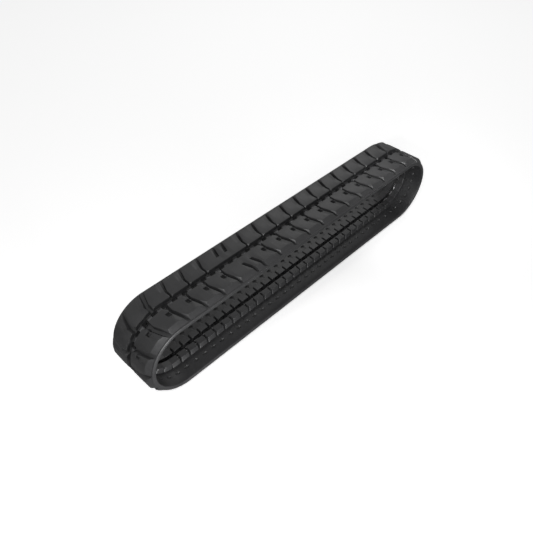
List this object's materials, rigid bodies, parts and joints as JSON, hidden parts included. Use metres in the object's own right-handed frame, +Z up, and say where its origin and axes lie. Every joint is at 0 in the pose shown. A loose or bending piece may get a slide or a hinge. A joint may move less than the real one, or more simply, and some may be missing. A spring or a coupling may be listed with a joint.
{
  "type": "rubber track",
  "caption": "Endless rubber track belt for a mini excavator, with staggered block lugs outside, guide lugs and sprocket windows inside, and steel cores in the rubber.",
  "frame": {"origin": "on the floor under the middle of the belt", "axes": "+X forward along the belt, +Y to its left side, +Z up"},
  "size_m": [1.825, 0.25, 0.3715],
  "materials": {
    "track_rubber": "satin moulded black",
    "core_steel": "forged, bonding agent and thin rubber flash",
    "steel_cord": "steel cords laid in dark skim rubber"
  },
  "bodies": {
    "root": {"inner_rubber_left": "track_rubber", "tread_base_left": "track_rubber", "cord_layer_left": "steel_cord", "joint_lug_left": "track_rubber", "guide_lugs_left_top_run": "track_rubber", "guide_lugs_left_bottom_run": "track_rubber", "guide_lugs_left_end_arcs": "track_rubber", "tread_lugs_left_top_run": "track_rubber", "tread_lugs_left_bottom_run": "track_rubber", "tread_lugs_left_end_arcs": "track_rubber", "inner_rubber_right": "track_rubber", "tread_base_right": "track_rubber", "cord_layer_right": "steel_cord", "joint_lug_right": "track_rubber", "guide_lugs_right_top_run": "track_rubber", "guide_lugs_right_bottom_run": "track_rubber", "guide_lugs_right_end_arcs": "track_rubber", "tread_lugs_right_top_run": "track_rubber", "tread_lugs_right_bottom_run": "track_rubber", "tread_lugs_right_end_arcs": "track_rubber", "steel_cores_top_run": "core_steel", "steel_cores_bottom_run": "core_steel", "steel_cores_end_arcs": "core_steel"}
  },
  "joints": []
}
